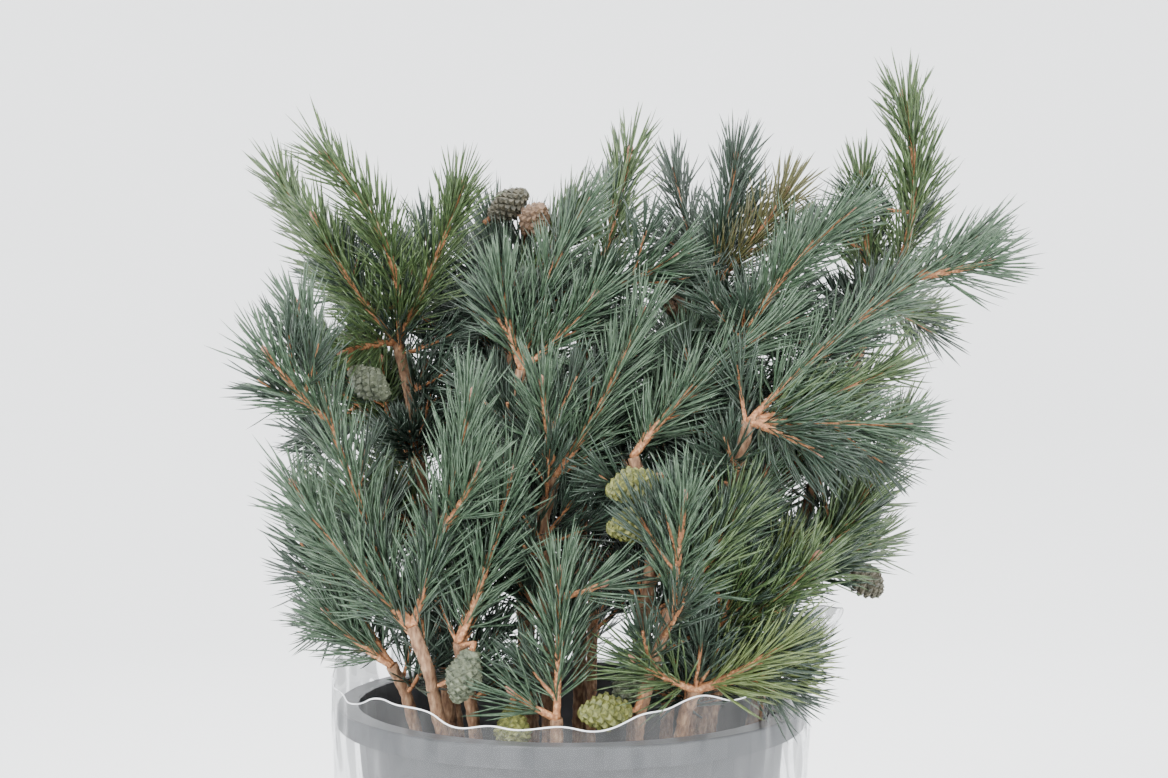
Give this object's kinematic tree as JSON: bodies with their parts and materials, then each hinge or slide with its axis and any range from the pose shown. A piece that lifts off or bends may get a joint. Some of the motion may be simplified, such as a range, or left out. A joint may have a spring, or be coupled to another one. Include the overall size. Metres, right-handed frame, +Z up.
{
  "type": "bucket of cut scots pine branches",
  "caption": "Full bunch of cut Scots pine branches with closed green cones, standing in a dark round bucket inside a clear film sleeve.",
  "frame": {"origin": "centre of the bucket's flat underside", "axes": "+Z up, -Y is the side the picture shows, +X is its right-hand side"},
  "size_m": [0.5581, 0.423, 0.7615],
  "materials": {
    "bucket_plastic": "moulded, satin dark grey",
    "film": "clear thin film with fine holes, glossy",
    "bark": "rough bark",
    "needles": "blue-green needles",
    "cone": "closed scales, dull"
  },
  "bodies": {
    "root": {"bough_back_1": "bark", "bough_back_2": "bark", "bough_back_3": "bark", "bough_back_4": "bark", "bough_back_5": "bark", "bough_front_bright": "bark", "bough_front_centre": "bark", "bough_left_front": "bark", "bough_left_inner": "bark", "bough_left_low": "bark", "bough_left_tall": "bark", "bough_middle": "bark", "bough_middle_back": "bark", "bough_middle_right": "bark", "bough_rear_middle": "bark", "bough_right_long": "bark", "bough_right_low": "bark", "bough_right_middle": "bark", "bough_right_tall": "bark", "bough_right_upper": "bark", "bough_right_yellow": "bark", "bough_upper_middle": "bark", "bough_upper_right": "bark", "bucket": "bucket_plastic", "cone_front_behind": "cone", "cone_front_left": "cone", "cone_front_olive": "cone", "cone_left_dark": "cone", "cone_left_high": "cone", "cone_left_low": "cone", "cone_middle_lower": "cone", "cone_middle_upper": "cone", "cone_right_dark": "cone", "cone_top_left": "cone", "cone_top_right": "cone", "cone_upper_brown": "cone", "film_sleeve": "film", "needles_back_1": "needles", "needles_back_2": "needles", "needles_back_3": "needles", "needles_back_4": "needles", "needles_back_5": "needles", "needles_front_bright": "needles", "needles_front_centre": "needles", "needles_left_front": "needles", "needles_left_inner": "needles", "needles_left_low": "needles", "needles_left_tall": "needles", "needles_middle": "needles", "needles_middle_back": "needles", "needles_middle_right": "needles", "needles_rear_middle": "needles", "needles_right_long": "needles", "needles_right_low": "needles", "needles_right_middle": "needles", "needles_right_tall": "needles", "needles_right_upper": "needles", "needles_right_yellow": "needles", "needles_upper_middle": "needles", "needles_upper_right": "needles"}
  },
  "joints": []
}
